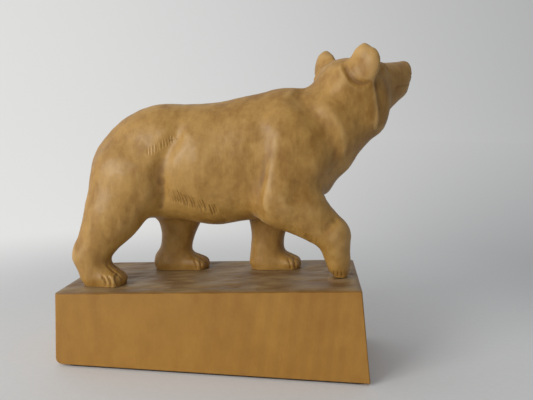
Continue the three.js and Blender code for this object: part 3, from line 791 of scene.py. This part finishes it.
# crease round the back of each ear
earBase = softLine(bearPlan["earBase"])
skin.valley(sideOut, earBase, 2.4, 2.2, facing=0.0, within=lambda p: p[:, 1] < 0)
farBase = earBase - (right * bearPlan["earSpread"] * 2)[[0, 2]]
skin.valley(sideFar, farBase, 2.4, 2.2, facing=0.0, within=lambda p: p[:, 1] > 20)
skin.refresh()


def calmSoles(places):  # and the head
    return eased(4, 14, places[:, 2] - topHeight(places[:, 0])) * (1 - 0.6 * inHead(places))


for size, depth, seed in bearPlan["facets"]:
    skin.facets(size, depth, seed, calmSoles)

# fur cut with a V gouge: side, line, spacing, length, width, depth, lean of the strokes
for view, line, spacing, length, width, depth, lean, more in (
    (sideOut, [(-48, 173), (-34, 170), (-22, 165.5), (-10, 162), (1, 159)], 2.9, 17, 1.35, 1.2, 104,
     {"seed": 3, "shrink": 0.4}),
    (sideOut, [(-68, 216), (-62, 218), (-52, 224), (-43, 230)], 3.0, 9, 1.2, 0.55, 96, {"seed": 6}),
    (sideOut, [(-112, 131), (-104, 137), (-96, 144)], 2.8, 7, 1.1, 0.6, 84, {"seed": 8, "rows": 3}),
    (sideOut, [(76, 146), (88, 140), (100, 133)], 3.0, 7, 1.3, 0.9, 76, {"seed": 9}),
    (sideFar, [(-24, 170), (-10, 165), (4, 160), (16, 157)], 3.4, 13, 1.3, 0.8, 96, {"seed": 13}),
):
    skin.fur(view, softLine(line), spacing, length, width, depth, lean, **more)

print("bear paws and face")


def toeTops(x, y, length, width):  # grooves between the toes
    for side in (-0.62, 0.0, 0.62):
        tipX = x + length * (0.46 - 0.08 * side * side)
        line = softLine([(tipX + 5, y + side * width * 0.40), (tipX - 4, y + side * width * 0.37),
                         (tipX - 13, y + side * width * 0.30)], 8)
        low = topHeight(tipX)
        skin.stroke(fromAbove, line, 1.9, 1.4, facing=-0.2, within=lambda p: p[:, 2] < low + 22)


def toeSides(view, tipX, starts, depth):  # the same grooves where they run down a paw's side
    low = topHeight(tipX)
    for back, lean in starts:
        x = tipX - back
        line = softLine([(x - lean, low + 12), (x - lean * 0.3, low + 7), (x, low)], 8)
        skin.stroke(view, line, 1.9, depth, facing=0.0,
                    within=lambda p: (p[:, 2] < low + 16) & (np.abs(p[:, 0] - tipX) < 26))


for paw in bearPlan["paws"]:
    toeTops(*paw)
nearPaw = [(14, 5), (8.5, 4.5), (3, 3.5)]
farPaw = [(8, 4), (3, 3)]
toeSides(sideOut, -94, nearPaw, 2.1)
toeSides(sideFar, -94, farPaw, 1.1)
for tipX in (-22, 82):
    toeSides(sideOut, tipX, farPaw, 1.2)
    toeSides(sideFar, tipX, nearPaw, 1.8)
headOn = View((0, 1, 0), (0, 0, 1), (1, 0, 0))
for y in (-25, -20, -15):  # claws of the lifted paw, on its front
    skin.stroke(headOn, softLine([(y * 0.9 - 2, padLevel + 17), (y, padLevel + 1)], 8), 1.5, 1.3, facing=0.0,
                within=lambda p: (p[:, 0] > 110) & (p[:, 2] < padLevel + 22))
for x in (119, 123, 127):
    skin.stroke(sideOut, softLine([(x - 1, padLevel + 8), (x, padLevel + 0.5)], 8), 1.1, 0.8, facing=0.0,
                within=lambda p: (p[:, 0] > 108) & (p[:, 2] < padLevel + 16))
skin.refresh()

skin.blob(faceOn, (0, 2), 9, 2.4, within=inHead)  # chin
ruff, mouth, nosePad = (softLine(bearPlan[line]) for line in ("ruff", "mouth", "nosePad"))
for side, cheek in ((1, cheekRight), (-1, cheekLeft)):
    skin.step(cheek, ruff, 3.6, 13, 1.5, within=lambda p: p[:, 2] > skull[2] - 60)
    skin.refresh()
    skin.fur(cheek, ruff, 7, 8, 1.3, 0.8, -75, seed=21, within=lambda p: p[:, 2] > skull[2] - 60)
    eye = (side * 21.5, 23.5)
    skin.blob(faceOn, (side * 21, 23), 6.0, -2.0, within=behindMuzzle)  # the socket
    skin.refresh()
    skin.blob(faceOn, eye, 3.2, 2.7, within=behindMuzzle)
    skin.refresh()
    skin.ring(faceOn, eye, 4.2, 1.3, 1.2, 0.85, within=behindMuzzle)
    local = skin.places - skull
    fromEye = np.hypot(local @ right - eye[0], local[:, 2] - eye[1])
    skin.soften(3, 0.6 * (1 - eased(7, 10, fromEye)) * behindMuzzle(skin.places))
    skin.blob(faceOn, (side * 5.2, 26.5), 2.2, -2.6, within=onNose)  # nostril
    skin.stroke(faceOn, softLine([(side * 5.5, 26), (side * 8, 24), (side * 9.5, 21.5)]), 1.5, 1.2, within=onNose)
    skin.stroke(cheek, mouth, 1.5, 1.2, facing=0.0, within=inHead)
    skin.stroke(cheek, nosePad, 1.5, 1.0, facing=0.0, within=onNose)
    skin.fur(faceOn, softLine([(side * 27, 20), (side * 33, 15), (side * 39, 19)]), 2.6, 11, 1.3, 0.9, 90,
             seed=31, within=lambda p: ~offEars(p))  # inside the ear
skin.stroke(faceOn, [(0, 22), (0, 17), (0, 12)], 1.4, 1.2, within=onNose)
skin.stroke(faceOn, softLine([(-9, 19), (-5, 17.2), (0, 16.8), (5, 17.2), (9, 19)]), 1.4, 0.9, within=onNose)
skin.refresh()

# painted shade in the hollows and cuts, and a painted highlight on the edges, from how the surface curves
settled = skin.places.copy()
for k in range(12):
    settled = skin.averaged(settled)
hollow = ((settled - skin.places) * skin.normals).sum(1)
for k in range(2):
    hollow = skin.averaged(hollow)
addMark(bear, "recess", np.clip(hollow * 1.2 - 0.05, 0, 0.7) + np.clip(skin.cut * 0.08 - 0.03, 0, 0.2))
# painted highlight on the convex edges
addMark(bear, "edge", np.clip(-hollow * 1.6 - 0.15, 0, 1))

# the soles, cut to the slope of the plinth and to its raised pad
applyModifier(bear, "DECIMATE", ratio=bearPlan["facesKept"])  # fewer faces where the skin is calm
editMode(bear)
bpy.ops.mesh.select_all(action="SELECT")
bpy.ops.mesh.bisect(plane_co=(0, 0, (topHeight(0) + block["glueLine"]) * mm),
                    plane_no=Vector((-slope, 0, 1)).normalized(), use_fill=True, clear_inner=True)
objectMode()
x, y, z = placesOf(bear).T
selectOnly(bear, "VERT", (fromPad(x, y) < 26) & (z < 115))
bpy.ops.mesh.bisect(plane_co=(0, 0, padLevel * mm), plane_no=(0, 0, 1), use_fill=True, clear_inner=True)
objectMode()
for x, y, top, radius in drills:
    bottom = topHeight(x) - 5
    bpy.ops.mesh.primitive_cylinder_add(vertices=24, radius=radius * mm, depth=(top - bottom) * mm,
                                        location=(x * mm, y * mm, (top + bottom) / 2 * mm))
    drill = newName("drill")
    applyPlace(drill)
    cutAway(bear, drill)
choose(bear)
bpy.ops.object.shade_smooth_by_angle(angle=math.radians(50))
bear.data.materials.append(bearWood())
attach(bear, "root")
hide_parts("bear")
print("bear triangles", sum(len(p.vertices) - 2 for p in bear.data.polygons))


print("felt")

feltPlan = {  # lengths in mm
    "length": 299, "depth": 120, "thickness": 1.6, "centreX": 3.5, "corner": 7,
    "dark": tone(44, 36, 30), "light": tone(70, 58, 48), "roughness": 0.95,
}
bpy.ops.mesh.primitive_plane_add(size=1)
felt = newName("felt_sheet")
bpy.ops.transform.resize(value=(feltPlan["length"] * mm, feltPlan["depth"] * mm, 1))
bpy.ops.transform.translate(value=(feltPlan["centreX"] * mm, 0, 0))
applyPlace(felt)
editMode(felt)
bpy.ops.mesh.select_all(action="SELECT")
bpy.ops.mesh.bevel(offset=feltPlan["corner"] * mm, segments=6, affect="VERTICES")
objectMode()
applyModifier(felt, "SOLIDIFY", thickness=feltPlan["thickness"] * mm, offset=1)
feltFinish = Finish("woolFelt")
fuzz = feltFinish.noise(feltFinish.point, 900, 4, 0.7)
clump = feltFinish.noise(feltFinish.point, 120, 3)
wool = feltFinish.eased(fuzz * 0.7 + clump * 0.3, 0.3, 0.7)
feltFinish.set(baseColor=feltFinish.mix(feltPlan["dark"], feltPlan["light"], wool),
               roughness=feltPlan["roughness"], normal=feltFinish.bump(fuzz, 0.6, 0.4 * mm))
felt.data.materials.append(feltFinish.material)
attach(felt, "root")
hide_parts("felt")
feltCorners = (4 - math.pi) * feltPlan["corner"] ** 2
feltPlan["depth"] * mm
feltPlan["length"] * mm
(feltPlan["length"] * feltPlan["depth"] - feltCorners) * mm * mm


print("hardware")

hardwarePlan = {  # pale and dark tone of each finish
    "beech": (tone(206, 172, 128), tone(176, 134, 88)),
    "yellowZinc": (tone(206, 184, 128), tone(176, 150, 92)),
    "brightZinc": (tone(198, 200, 204), tone(160, 163, 168)),
}


def plainWood():
    finish = Finish("plainBeech")
    grain = finish.noise(finish.stretched((500, 500, 30)), 1.0, 3.0)
    finish.set(baseColor=finish.mix(*hardwarePlan["beech"], finish.eased(grain, 0.35, 0.7)),
               roughness=0.62, normal=finish.bump(grain, 0.3, 0.2 * mm))
    return finish.material


def metal(name):
    finish = Finish(name)
    brushed = finish.noise(finish.stretched((300, 300, 2500)), 1.0, 3.0)
    finish.set(baseColor=finish.mix(*hardwarePlan[name], finish.eased(brushed, 0.3, 0.8)), metallic=1.0,
               roughness=finish.eased(brushed, 0.2, 0.8, 0.25, 0.42),
               normal=finish.bump(brushed, 0.1, 0.05 * mm))
    return finish.material


zinc = metal("yellowZinc")
bright = metal("brightZinc")
for node, material, slotName in (
    ("dowel_far_hind", plainWood(), "dowel"),
    ("screw_near_hind", zinc, "screw"), ("screw_far_fore", zinc, "screw"),
    ("washer_near_hind", bright, "washer"), ("washer_far_fore", bright, "washer"),
):
    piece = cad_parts[node]
    piece.data.materials.clear()
    piece.data.materials.append(material)

print("done")
